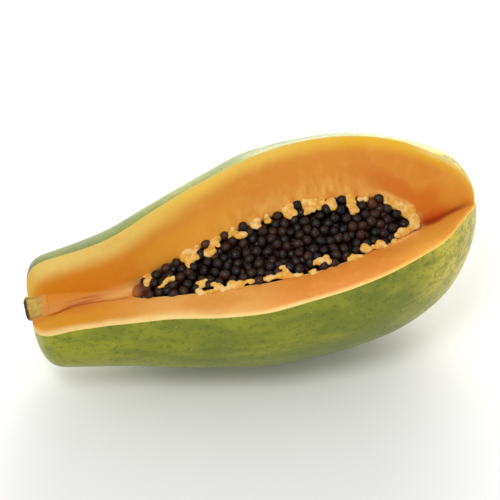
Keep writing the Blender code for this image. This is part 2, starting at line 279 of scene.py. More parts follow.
lamp("key_lamp", (-0.4, -0.55, 1.3), 0.5, 6.2)
lamp("back_lamp", (0.35, 1.2, 0.40), 1.1, 26)
print("two lamps round the table")

# %% [markdown]
# Working as by hand
#
# Blender's operators act on whatever is selected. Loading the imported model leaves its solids
# selected, so each new primitive starts with everything deselected. The helpers below add a
# primitive, open it for editing, and pick the points to move by their place. The next ones
# add a modifier and apply it, combine two solids, and shade a piece.

# %% Helpers for modelling
def fresh(add, name, **how):
    """A new primitive with nothing else selected, its turn and place put in its mesh."""
    bpy.ops.object.select_all(action="DESELECT")
    add(**how)
    piece = bpy.context.object
    piece.name = piece.data.name = name
    bpy.ops.object.transform_apply(location=True, rotation=True, scale=True)
    return piece


def only(piece):
    """Selects one object alone and makes it the active one."""
    bpy.ops.object.select_all(action="DESELECT")
    piece.select_set(True)
    bpy.context.view_layer.objects.active = piece


def start_edit(piece):
    """Opens one object for editing, by its points."""
    only(piece)
    bpy.ops.object.mode_set(mode="EDIT")
    bpy.ops.mesh.select_mode(type="VERT")


def end_edit():
    """Closes the object that is open for editing."""
    bpy.ops.object.mode_set(mode="OBJECT")


def pick(numbers):
    """In edit mode, selects the points with these numbers and no others."""
    mesh = bmesh.from_edit_mesh(bpy.context.object.data)
    mesh.verts.ensure_lookup_table()
    for point in mesh.verts:
        point.select = False
    for number in numbers:
        mesh.verts[number].select = True
    mesh.select_flush_mode()
    bmesh.update_edit_mesh(bpy.context.object.data)


def joined(pieces, name):
    """Joins pieces into one object with this name."""
    bpy.ops.object.select_all(action="DESELECT")
    for piece in pieces:
        piece.select_set(True)
    bpy.context.view_layer.objects.active = pieces[0]
    bpy.ops.object.join()
    pieces[0].name = pieces[0].data.name = name
    return pieces[0]


# %% Helpers for modifiers and shading
def finish_with(piece, kind, **settings):
    """Adds a modifier with these settings and applies it."""
    step = piece.modifiers.new(kind.lower(), kind)
    for name, value in settings.items():
        setattr(step, name, value)
    only(piece)
    bpy.ops.object.modifier_apply(modifier=step.name)


def roughen(piece, name, size, strength, detail=2, **settings):
    """Displaces a piece by a soft cloud texture whose lumps are about this size."""
    texture = bpy.data.textures.new(name, "CLOUDS")
    texture.noise_scale = size
    texture.noise_depth = detail
    finish_with(
        piece, "DISPLACE", texture=texture, texture_coords="LOCAL", strength=strength, **settings
    )


def combine(piece, operation, other, **settings):
    """Adds another solid to a piece or takes it away, and removes the other."""
    finish_with(piece, "BOOLEAN", operation=operation, object=other, solver="EXACT", **settings)
    bpy.data.objects.remove(other)


def shade(piece, degrees=None):
    """Shades a piece smooth, except over edges sharper than these degrees where they are given."""
    only(piece)
    if degrees is None:
        bpy.ops.object.shade_smooth()
    else:
        bpy.ops.object.shade_smooth_by_angle(angle=math.radians(degrees))


def add_material(piece, finish):
    """Gives a piece this material alone."""
    piece.data.materials.clear()
    piece.data.materials.append(finish)


# %% [markdown]
# A lathe-turned form
#
# The fruit and its cavity are both round in section, with a radius that changes along them. A UV
# sphere already has its rings across X once it is turned on its side, and its poles close both
# ends. Each ring is picked, scaled to its radius and lifted to the middle line.

# %% Shaping a sphere ring by ring
def turned_form(name, start, end, radius_of, middle_of, segments, rings):
    """A sphere whose rings are scaled and moved to follow a radius and a middle line."""
    half = (end - start) / 2
    centre = start + half
    piece = fresh(
        bpy.ops.mesh.primitive_uv_sphere_add, name, segments=segments, ring_count=rings,
        radius=half, location=(centre, 0, 0), rotation=(0, math.pi / 2, 0),
    )
    members = {}
    for point in piece.data.vertices:
        toward_start = max(-1, min(1, (centre - point.co.x) / half))
        ring = round(math.acos(toward_start) / math.pi * rings)
        members.setdefault(ring, []).append(point.index)
    start_edit(piece)
    for ring, numbers in members.items():
        x = start + half * (1 - math.cos(math.pi * ring / rings))
        pick(numbers)
        if 0 < ring < rings:
            grow = radius_of(x) / (half * math.sin(math.pi * ring / rings))
            bpy.ops.transform.resize(value=(1, grow, grow), center_override=(x, 0, 0))
        bpy.ops.transform.translate(value=at(0, middle_of(x)))
    end_edit()
    return piece


fruit = turned_form(
    "papaya_fruit", STEM_END, BLOSSOM_END, fruit_radius,
    lambda x: (0, through(MIDDLE_LINE, x)), segments=144, rings=108,
)
print(fruit.name, "has", len(fruit.data.polygons), "faces")

# %% [markdown]
# A papaya is not quite round
#
# Five soft ridges run along the fruit, one over each of the five walls inside. A vertex group says
# how far each point lies on a ridge, and a Displace modifier with no texture pushes the points out
# by that much. A second one, with a wide cloud texture, gives the belly its slight unevenness.

# %% Ridges and unevenness
RIDGE_COUNT, RIDGE_HEIGHT, RIDGE_TURN = 5, 0.0012, math.radians(20)
ridges = fruit.vertex_groups.new(name="ridges")
for point in fruit.data.vertices:
    x, y, z = point.co
    angle = math.atan2(z - through(MIDDLE_LINE, x), -y)
    swell = max(0.0, math.sin(math.pi * x / BLOSSOM_END))
    on_ridge = 0.5 + 0.5 * math.cos(RIDGE_COUNT * angle + RIDGE_TURN)
    ridges.add([point.index], swell * on_ridge, "REPLACE")
finish_with(fruit, "DISPLACE", vertex_group="ridges", strength=RIDGE_HEIGHT)
roughen(fruit, "wide_swell", 0.045, 0.0014, detail=1)
fruit.vertex_groups.clear()
print("the fruit measures", [round(v * 1000, 1) for v in fruit.dimensions], "mm")

# %% [markdown]
# The cut
#
# A knife leaves two nearly flat faces that meet in a crease. A grid is the right start: its columns
# go to their places along the fruit, and its rows spread out from the crease. Then every column is
# folded: the near half is turned down, the far half is turned up past upright, and each half moves
# to its foot. Subdivision rounds the crease a little, and a cloud texture gives the faces the faint
# waves that a knife leaves in soft flesh.

# %% Folding a grid into the two faces
STEPS = (0, 0.0012, 0.004, 0.009, 0.016, 0.025, 0.036, 0.048, 0.062, 0.076, 0.090)
KNIFE_START, KNIFE_END, KNIFE_COLUMNS = -0.020, 0.310, 56


def folded_grid(name, first, last, columns, steps, fold):
    """A grid along X whose near and far halves are turned and moved as fold(x) says."""
    across = [-step for step in reversed(steps)] + list(steps)
    sheet = fresh(
        bpy.ops.mesh.primitive_grid_add, name, x_subdivisions=columns,
        y_subdivisions=len(across) - 1, size=2,
    )
    halves = {}
    for point in sheet.data.vertices:
        x = first + (last - first) * round((point.co.x + 1) / 2 * columns) / columns
        row = round((point.co.y + 1) / 2 * (len(across) - 1))
        side = "near" if row < len(steps) else "far"
        halves.setdefault(x, {"near": [], "far": []})[side].append(point.index)
        point.co = (x, across[row], 0)
    start_edit(sheet)
    for x, sides in halves.items():
        for side, (turn, shift) in fold(x).items():
            pick(sides[side])
            bpy.ops.transform.rotate(value=-turn, orient_axis="X", center_override=(x, 0, 0))
            bpy.ops.transform.translate(value=shift)
    end_edit()
    return sheet


def knife_fold(x):
    """How far each half of the grid turns about the crease, and where its foot is."""
    far_foot, far_way, near_foot, near_way = cut_lines(x)
    return {
        "near": (math.atan2(near_way.y, -near_way.x) - math.pi, at(0, near_foot)),
        "far": (math.atan2(far_way.y, -far_way.x), at(0, far_foot)),
    }


knife = folded_grid("knife_cut", KNIFE_START, KNIFE_END, KNIFE_COLUMNS, STEPS, knife_fold)
print(knife.name, "has", len(knife.data.vertices), "points")

# %% From a sheet to a solid
OUT_OF_THE_CUT = (0, -0.088, 0.032)

finish_with(knife, "SUBSURF", levels=2, render_levels=2)
for axis in ("Y", "Z"):
    roughen(knife, "knife_waves", 0.016, 0.0007, direction=axis)


def thicken(sheet, way):
    """Draws a sheet out along a way into a closed solid, with its faces pointing out."""
    start_edit(sheet)
    bpy.ops.mesh.select_all(action="SELECT")
    bpy.ops.mesh.extrude_region_move(TRANSFORM_OT_translate={"value": way})
    bpy.ops.mesh.select_all(action="SELECT")
    bpy.ops.mesh.normals_make_consistent(inside=False)
    end_edit()


thicken(knife, OUT_OF_THE_CUT)
print(knife.name, "has", len(knife.data.polygons), "faces")

# %% [markdown]
# The hollow
#
# The cavity is another turned form. Its wall is lumpy, so it gets a stronger cloud than the cut.
# It is joined to the knife's solid before anything is taken from the fruit, so that the edge where
# face and hollow meet can be softened while it is still easy to reach. On the real fruit that edge
# is crisp along the near face and worn soft along the far one.

# %% The hollow joins the knife's solid
hollow = turned_form(
    "hollow", CAVITY_START + 0.001, CAVITY_END - 0.0004, cavity_radius, cavity_middle,
    segments=72, rings=64,
)
roughen(hollow, "hollow_lumps", 0.009, 0.0014)
skin_finish = bpy.data.materials.new("papaya_skin")
flesh_finish = bpy.data.materials.new("papaya_flesh")
lining_finish = bpy.data.materials.new("cavity_lining")
add_material(fruit, skin_finish)
add_material(knife, flesh_finish)
add_material(hollow, lining_finish)
combine(knife, "UNION", hollow, material_mode="TRANSFER")
print("knife and hollow together have", len(knife.data.polygons), "faces")

# %% Softening the worn edge
WORN_RINGS, WORN_REPEATS = 4, 18
start_edit(knife)
form = bmesh.from_edit_mesh(knife.data)
worn = set()
for edge in form.edges:
    if len({face.material_index for face in edge.link_faces}) == 2:
        middle = (edge.verts[0].co + edge.verts[1].co) / 2
        if middle.z > cut_lines(middle.x)[2].y + 0.3 * middle.y:
            worn.update(edge.verts)
for _ in range(WORN_RINGS):
    worn |= {link.other_vert(v) for v in worn for link in v.link_edges}
numbers = [v.index for v in worn]
pick(numbers)
bpy.ops.mesh.vertices_smooth(factor=0.5, repeat=WORN_REPEATS)
end_edit()
print("softened", len(numbers), "points along the far edge of the hollow")

# %% Taking the wedge out of the fruit
combine(fruit, "DIFFERENCE", knife, material_mode="TRANSFER")
print(fruit.name, "has", len(fruit.data.polygons), "faces and", len(fruit.data.materials), "materials")

# %% [markdown]
# The socket and the flat underneath
#
# The halved stub of the stem sits in the flesh, so a cylinder of its size is halved in the same way
# and taken out of the neck. Then the fruit is laid down, and what would sink below the table is
# sliced off, as if its weight pressed the skin flat there.

# %% The socket of the stem
STEM_RADIUS, STEM_HEIGHT, STEM_OUT, STEM_IN = 0.0076, -0.0004, 0.0030, 0.0115
STEM_CUT_AT, SOCKET_LENGTH, SOCKET_GAP = -0.0004, 0.030, 0.0001


def halve(piece):
    """In edit mode, slices a piece lengthwise and keeps the half behind the cut."""
    bpy.ops.mesh.select_all(action="SELECT")
    bpy.ops.mesh.bisect(
        plane_co=(0, STEM_CUT_AT, 0), plane_no=(0, -1, 0), use_fill=True, clear_outer=True
    )


socket = fresh(
    bpy.ops.mesh.primitive_cylinder_add, "socket", vertices=48, radius=STEM_RADIUS + SOCKET_GAP,
    depth=SOCKET_LENGTH, location=(STEM_END + STEM_IN - SOCKET_LENGTH / 2, 0, STEM_HEIGHT),
    rotation=(0, math.pi / 2, 0),
)
start_edit(socket)
halve(socket)
end_edit()
add_material(socket, flesh_finish)
combine(fruit, "DIFFERENCE", socket, material_mode="TRANSFER")
print("the stem's socket is", round(STEM_IN * 1000, 1), "mm deep")

# %% Laying the fruit down on its flat
def lay_down(piece):
    """Rolls and pitches a finished piece to the way the fruit lies, and applies that."""
    piece.matrix_world = LIE
    only(piece)
    bpy.ops.object.transform_apply(location=True, rotation=True, scale=True)


lay_down(fruit)
start_edit(fruit)
bpy.ops.mesh.select_all(action="SELECT")
bpy.ops.mesh.bisect(plane_co=(0, 0, 0), plane_no=(0, 0, 1), use_fill=True, clear_inner=True)
end_edit()
shade(fruit, 32)
print("the fruit's lowest point is at", round(min(v.co.z for v in fruit.data.vertices) * 1000, 2), "mm")

# %% [markdown]
# Writing shader maths as sums
#
# A finish here is mostly arithmetic on where a point lies. A small class wraps a socket, so that a
# sum in Python adds the Math nodes for it, and one method adds any other node.

# %% A socket that can be added and multiplied
class Wire:
    """One output in a material's node tree, with arithmetic."""

    def __init__(self, tree, socket=None):
        self.tree = tree
        self.socket = socket

    def node(self, kind, settings=None, inputs=None, output=0):
        """Adds a node: its settings first, then the values or wires of its inputs."""
        made = self.tree.nodes.new("ShaderNode" + kind)
        for name, value in (settings or {}).items():
            setattr(made, name, value)
        for name, value in (inputs or {}).items():
            if isinstance(value, Wire):
                self.tree.links.new(value.socket, made.inputs[name])
            else:
                made.inputs[name].default_value = value
        return Wire(self.tree, made.outputs[output])

    def math(self, operation, *values, clamp=False):
        return self.node("Math", {"operation": operation, "use_clamp": clamp}, dict(enumerate(values)))

    def __add__(self, other):
        return self.math("ADD", self, other)

    def __sub__(self, other):
        return self.math("SUBTRACT", self, other)

    def __mul__(self, other):
        return self.math("MULTIPLY", self, other)

    def __rsub__(self, other):
        return self.math("SUBTRACT", other, self)

    __radd__ = __add__
    __rmul__ = __mul__

    def rise(self, low, high):
        """0 below low, 1 above high, and smooth between; high may be the smaller one."""
        flip = low > high
        span = (high, low) if flip else (low, high)
        made = self.node(
            "MapRange", {"interpolation_type": "SMOOTHSTEP"},
            {"Value": self, "From Min": span[0], "From Max": span[1]},
        )
        return 1 - made if flip else made

    def between(self, colour, other):
        """A colour or wire mixed towards another by this value."""
        return self.node(
            "Mix", {"data_type": "RGBA", "clamp_factor": True}, {0: self, 6: colour, 7: other}, output=2
        )

    def noise(self, scale, detail=2.0, stretch=(1, 1, 1), roughness=0.5):
        """Noise about 1 / scale metres across, drawn out where stretch is small."""
        where = self.node(
            "VectorMath", {"operation": "MULTIPLY"}, {0: self, 1: tuple(scale * s for s in stretch)}
        )
        return self.node(
            "TexNoise", {"noise_dimensions": "3D"},
            {"Vector": where, "Scale": 1.0, "Detail": detail, "Roughness": roughness},
        )

    def bump(self, strength, distance):
        """A Normal that lifts the surface by this value."""
        return self.node("Bump", None, {"Strength": strength, "Distance": distance, "Height": self})


# %% Starting a finish and feeding its shader
def paint(red, green, blue):
    """A colour as a photograph's numbers give it, in the light values that shaders use."""
    def light(v):
        v /= 255
        return v / 12.92 if v <= 0.04045 else ((v + 0.055) / 1.055) ** 2.4
    return (light(red), light(green), light(blue), 1)


def begin(finish):
    """An empty finish: its shader, the place in the fruit's frame, and that place's X and Z."""
    finish.use_nodes = True
    tree = finish.node_tree
    here = Wire(tree).node("TexCoord", output=3)
    place = here.node(
        "Mapping", {"vector_type": "TEXTURE"},
        {"Vector": here, "Location": tuple(LIE.translation), "Rotation": tuple(LIE.to_euler())},
    )
    x = place.node("SeparateXYZ", None, {0: place})
    height = Wire(tree, x.socket.node.outputs[2])
    return tree.nodes["Principled BSDF"], place, x, height


def feed(shader, **inputs):
    """Links wires to the shader's inputs and sets plain numbers on them."""
    for name, value in inputs.items():
        socket = shader.inputs[name.replace("_", " ")]
        if isinstance(value, Wire):
            value.tree.links.new(value.socket, socket)
        else:
            socket.default_value = value


def kept(wire, name):
    """Reads a number that is kept on the mesh, in the tree of this wire."""
    return wire.node("Attribute", {"attribute_name": name}, output=2)


# %% [markdown]
# Where a point lies in the flesh
#
# Cut papaya is pale under the skin, then yellow, then orange, and deepens in the neck and in the
# hollow. So the flesh needs to know how deep a point lies, how far it is from the hollow's rim, on
# which face it lies, and how far it is from the crease and from the line of fibres in the neck. All
# are worked out once for every point of the mesh and kept as attributes, which the finish reads.

# %% Depth and the other measures, kept on the mesh
def keep(piece, name, values):
    """Stores one number for each point of a piece."""
    layer = piece.data.attributes.new(name, "FLOAT", "POINT")
    layer.data.foreach_set("value", values)


FIBRE_LINE = (
    (0.000, -0.0082), (0.010, -0.0072), (0.020, -0.0058), (0.027, -0.0043), (0.046, -0.0041),
    (0.068, -0.0058),
)
back_to_fruit = LIE.inverted()
measures = {"depth": [], "rim": [], "near_side": [], "band": [], "fibre": []}
for point in fruit.data.vertices:
    x, y, z = back_to_fruit @ point.co
    forward = -y
    near_foot = cut_lines(x)[2].y
    measures["depth"].append(fruit_radius(x) - math.hypot(forward, z - through(MIDDLE_LINE, x)))
    from_middle = (Vector((forward, z)) - cavity_middle(x)).length
    past_ends = max(0.0, CAVITY_START - x, x - CAVITY_END)
    measures["rim"].append(max(from_middle - cavity_radius(x), past_ends))
    measures["near_side"].append(1.0 if z < near_foot + 0.0004 - 0.1 * forward else 0.0)
    measures["band"].append(abs(z - near_foot) + 0.5 * abs(forward))
    measures["fibre"].append(z - through(FIBRE_LINE, x))
for name, values in measures.items():
    keep(fruit, name, values)
print("the deepest point lies", round(max(measures["depth"]) * 1000), "mm under the skin")

# %% [markdown]
# Painting the flesh in layers
#
# Each layer is a colour laid over the last one through a mask, which is a product of a few smooth
# rises. The first goes by depth. The next ones are the marks of the far face, with deeper flesh and
# some painted shade low in its neck and painted shade round the hollow's end; the painted shade of
# the blossom end's soft recess and its crease; and the band at the crease, where fibres run to the
# stem. Pale edges at the hollow and under the skin come last.

# %% The measures as wires, and flesh by its depth
def measured(place):
    """The measures kept on the mesh, with the noises that several layers share."""
    m = SimpleNamespace(**{name: kept(place, name) for name in measures})
    m.far_side = 1 - m.near_side
    m.ragged = place.noise(55, 3) - 0.5
    m.frayed_depth = m.depth + m.ragged * 0.0026
    m.fuzz = place.noise(300, 3, stretch=(1.0, 1.0, 0.22))
    return m


def by_depth(place, x, m):
    """Pale, then yellow, then orange; both faces have their own colours and widths of rim."""
    neck, neck_rim, belly = x.rise(0.125, 0.030), x.rise(0.150, 0.060), x.rise(0.150, 0.230)
    far_rim = belly.between(paint(240, 200, 82), paint(238, 188, 44))
    far_rim = neck.between(far_rim, paint(236, 208, 116))
    far_body = neck.between(paint(222, 144, 48), paint(221, 144, 38))
    far_body = x.rise(0.260, 0.276).between(far_body, paint(230, 162, 62))
    far_belly, far_neck = m.frayed_depth.rise(0.0015, 0.0120), m.frayed_depth.rise(0.0060, 0.0195)
    far_width = far_belly + (far_neck - far_belly) * neck_rim
    near_rim = x.rise(0.150, 0.240).between(paint(244, 212, 138), paint(240, 200, 94))
    near_body = x.rise(0.035, 0.080).between(paint(222, 156, 44), paint(234, 172, 90))
    near_body = x.rise(0.125, 0.170).between(near_body, paint(223, 138, 52))
    near_body = x.rise(0.215, 0.255).between(near_body, paint(232, 164, 64))
    near_belly, near_neck = m.frayed_depth.rise(0.0008, 0.0068), m.frayed_depth.rise(0.0030, 0.0125)
    near_width = near_belly + (near_neck - near_belly) * neck_rim
    width = far_width * m.far_side + near_width * m.near_side
    colour = width.between(
        m.near_side.between(far_rim, near_rim), m.near_side.between(far_body, near_body)
    )
    soft, cells = place.noise(38, 3), place.noise(150, 4)
    colour = (soft.rise(0.50, 0.68) * width * 0.45).between(colour, paint(214, 132, 44))
    return (cells.rise(0.48, 0.70) * 0.25).between(colour, paint(234, 172, 80))


# %% Marks of the far face and of the blossom end
def far_face(colour, place, x, m):
    """Fuzz above the hollow, deeper flesh low in the neck that is partly painted shade, and painted shade
    as a deeper red arc round the hollow's end.
    """
    above = m.rim.rise(0.022, 0.004) * m.far_side * x.rise(0.085, 0.130) * x.rise(0.246, 0.225)
    blotch = place.noise(120, 2, stretch=(1.0, 1.0, 0.45))
    mottle = m.fuzz.rise(0.36, 0.58) * 0.5 + blotch.rise(0.40, 0.58) * 0.6
    colour = (above * mottle).between(colour, paint(238, 176, 82))
    # Deeper orange low on the far face in the neck: partly the flesh's own colour, partly painted shade.
    neck_deep_and_shaded = x.rise(0.120, 0.030) * m.frayed_depth.rise(0.012, 0.026) * m.far_side
    colour = (neck_deep_and_shaded * 0.75).between(colour, paint(220, 138, 30))
    low = m.frayed_depth.rise(0.014, 0.028) * x.rise(0.066, 0.084) * x.rise(0.150, 0.125)
    colour = (low * m.far_side * 0.6).between(colour, paint(236, 166, 50))
    # Painted shade: a deeper red arc round the hollow's end, where the notch sinks into a shaded pocket.
    hollow_end_shade = m.rim.rise(0.004, 0.010) * m.rim.rise(0.026, 0.016)
    hollow_end_shade = hollow_end_shade * x.rise(0.205, 0.240) * x.rise(0.272, 0.258)
    return (hollow_end_shade * m.far_side * 0.8).between(colour, paint(214, 116, 34))


def blossom_end(colour, x, m):
    """Painted shade in the soft dip past the hollow's tip, a darker line of painted shade along its crease,
    and the pale lip before it.
    """
    crease = m.band + m.ragged * 0.004
    # Painted shade in the soft recess past the hollow's tip, darker towards the crease.
    recess_shade = crease.rise(0.0135, 0.0020) * x.rise(0.249, 0.257) * x.rise(0.279, 0.266)
    colour = (recess_shade * m.far_side * 0.95).between(colour, paint(208, 92, 20))
    # Painted shade: a dark line along the crease at the blossom end.
    crease_shade = crease.rise(0.0048, 0.0004) * x.rise(0.250, 0.257) * x.rise(0.290, 0.276)
    colour = (crease_shade * 0.8).between(colour, paint(166, 52, 8))
    lip = m.rim.rise(0.0085, 0.0050) * x.rise(0.222, 0.236) * x.rise(0.2565, 0.2515)
    return (lip * (m.fuzz.rise(0.30, 0.60) * 0.4 + 0.6)).between(colour, paint(240, 184, 106))


# %% The band at the crease, and the edges
def crease_band(colour, place, x, m):
    """The pale band between both feet, its threads, and the red fibres along its lower edge."""
    core = m.band.rise(0.0090, 0.0035) * x.rise(0.120, 0.080)
    core_colour = x.rise(0.030, 0.070).between(paint(214, 144, 54), paint(238, 184, 106))
    colour = (core * 0.8).between(colour, core_colour)
    threads = place.noise(330, 4, stretch=(0.09, 1, 1))
    colour = (core * threads.rise(0.46, 0.62) * 0.5).between(colour, paint(214, 142, 56))
    fibre = m.fibre + (place.noise(60, 3) - 0.5) * 0.0014
    strands = place.noise(760, 2, stretch=(0.05, 1, 1))
    spread = fibre.rise(-0.0012, -0.0002) * fibre.rise(0.0050, 0.0030)
    spread = spread * x.rise(0.018, 0.030) * x.rise(0.056, 0.036)
    colour = (spread * (strands.rise(0.46, 0.56) * 0.75 + 0.15)).between(colour, paint(184, 92, 0))
    line = fibre.rise(-0.0010, -0.0002) * fibre.rise(0.0013, 0.0004)
    line = line * x.rise(0.074, 0.060) * x.rise(0.008, 0.018)
    unbroken = threads.rise(0.34, 0.50) * 0.5 + x.rise(0.052, 0.030) * 0.45
    return (line * unbroken).between(colour, paint(172, 80, 0))


def pale_edges(colour, x, m):
    """The hollow's edge, the shoulder at the stem, the line under the skin and the blossom rim."""
    edge_of_hollow = m.rim.rise(0.0016, 0.0002) * x.rise(HEAP_START, 0.078) * x.rise(0.256, 0.250)
    colour = (edge_of_hollow * 0.65).between(colour, paint(240, 192, 118))
    shoulder = x.rise(0.014, 0.004) * m.far_side * m.band.rise(0.008, 0.014)
    colour = (shoulder * 0.6).between(colour, paint(220, 172, 58))
    colour = (m.depth.rise(0.0012, 0.0002) * 0.6).between(colour, paint(226, 208, 120))
    blossom_rim = m.frayed_depth.rise(0.0048, 0.0010) * x.rise(0.246, 0.266) * m.far_side
    return (blossom_rim * 0.85).between(colour, paint(242, 218, 136))


# %% The flesh's finish
def flesh_nodes(finish, lining):
    """Flesh with all its layers; the lining is the hollow's wall, which deepens inwards."""
    shader, place, x, _ = begin(finish)
    m = measured(place)
    colour = by_depth(place, x, m)
    colour = far_face(colour, place, x, m)
    colour = blossom_end(colour, x, m)
    colour = crease_band(colour, place, x, m)
    colour = pale_edges(colour, x, m)
    if lining:
        deep = m.rim.rise(0.0005, -0.0060)
        colour = (deep * 0.5 + 0.25).between(colour, paint(218, 118, 36))
    wet = place.noise(240, 2)
    feed(shader, Base_Color=colour, Roughness=wet * 0.22 + 0.38)
    feed(shader, Specular_IOR_Level=0.24, Subsurface_Weight=0.15, Subsurface_Scale=0.003)
    feed(shader, Subsurface_Radius=(1.0, 0.5, 0.2))
    feed(shader, Normal=(place.noise(900, 3) * 0.4 + m.fuzz).bump(0.30, 0.0005))


flesh_nodes(flesh_finish, False)
flesh_nodes(lining_finish, True)
print("flesh and lining are painted")

# %% [markdown]
# The skin
#
# The skin is waxy and green, mottled with yellow-green where it ripens, yellow at the blossom end,
# and finely speckled. Broad noise mixes the greens, noise drawn out along the fruit gives faint
# streaks, and a cell pattern scatters small darker pores and a few pale dots. The neck's upper
# side is darkened to a deeper green as painted shade.

# %% The skin's finish
shader, place, x, height = begin(skin_finish)
broad = place.noise(16, 3)
patches = place.noise(60, 4, stretch=(0.6, 1, 1))
fine = place.noise(330, 3, stretch=(0.7, 1, 1))
streak = place.noise(130, 3, stretch=(0.10, 1, 1))
colour = broad.rise(0.40, 0.60).between(paint(114, 124, 22), paint(130, 136, 20))
colour = (patches.rise(0.42, 0.66) * 0.45).between(colour, paint(156, 158, 26))
colour = (x.rise(0.115, 0.010) * 0.6).between(colour, paint(160, 160, 14))
ripe = x.rise(0.210, 0.288) * (patches.rise(0.25, 0.60) * 0.55 + 0.4)
colour = ripe.between(colour, paint(226, 205, 76))
colour = (streak.rise(0.46, 0.64) * 0.45).between(colour, paint(92, 106, 20))
colour = (fine.rise(0.50, 0.66) * 0.35).between(colour, paint(82, 98, 14))
# Painted shade: the neck's upper side is darkened to a deeper green.
neck_top_shade = height.rise(0.010, 0.020) * (x + (broad - 0.5) * 0.03).rise(0.092, 0.046)
colour = (neck_top_shade * 0.7).between(colour, paint(84, 98, 30))
cells = place.node("TexVoronoi", {"feature": "F1"}, {"Vector": place, "Scale": 420.0, "Randomness": 1.0})
pores = cells.rise(0.38, 0.16) * fine.rise(0.40, 0.56)
colour = (pores * 0.6).between(colour, paint(72, 88, 16))
rare = place.node("TexVoronoi", {"feature": "F1"}, {"Vector": place, "Scale": 62.0, "Randomness": 1.0})
colour = (rare.rise(0.050, 0.030) * 0.5).between(colour, paint(180, 176, 90))
feed(shader, Base_Color=colour, Roughness=fine * 0.14 + 0.32, Specular_IOR_Level=0.36)
feed(shader, Normal=(fine + cells * 0.3 + streak * 0.5).bump(0.20, 0.0004))


def hand_over(piece, node):
    """Lets a finished piece ride with the model in place of one of its solids."""
    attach(piece, "root")
    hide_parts(node)
    print(piece.name, "stands for", node, "with", len(piece.data.polygons), "faces")


hand_over(fruit, "papaya")

# %% [markdown]
# Where pulp shows among the seeds
#
# Soft pulp holds the seeds to the wall. Where the knife went through, it shows as tags that hang
# from the far rim, as knobs along the near rim, and as a pale lip round the end of the heap. Its
# lumps are placed one by one, in millimetres: how far along the fruit, how far in from the heap's
# far edge, and how wide to each side. A few seeds sit on the far rim itself, also placed one by
# one. Below the rim a place is measured over the heap, and above it up the far face.

# %% Places on the heap
def heap_width(x):
    """How wide the heap is, from its far edge to its near edge."""
    far_edge, near_edge, _ = heap_line(x)
    return (near_edge - far_edge).length


def on_heap(x, from_far, lift):
    """A point over the heap, or over the far face where from_far is negative, and its way out."""
    far_edge, near_edge, facing = heap_line(x)
    inward = (near_edge - far_edge).normalized()
    if from_far < 0:
        far_way = cut_lines(x)[1]
        inward, facing = -far_way, Vector((far_way.y, -far_way.x))
    return at(x, far_edge + inward * from_far + facing * lift), at(0, facing)


middle = on_heap(BELLY_AT, heap_width(BELLY_AT) / 2, 0)[0]
print("the heap's middle at the belly is at", [round(v * 1000, 1) for v in middle], "mm")

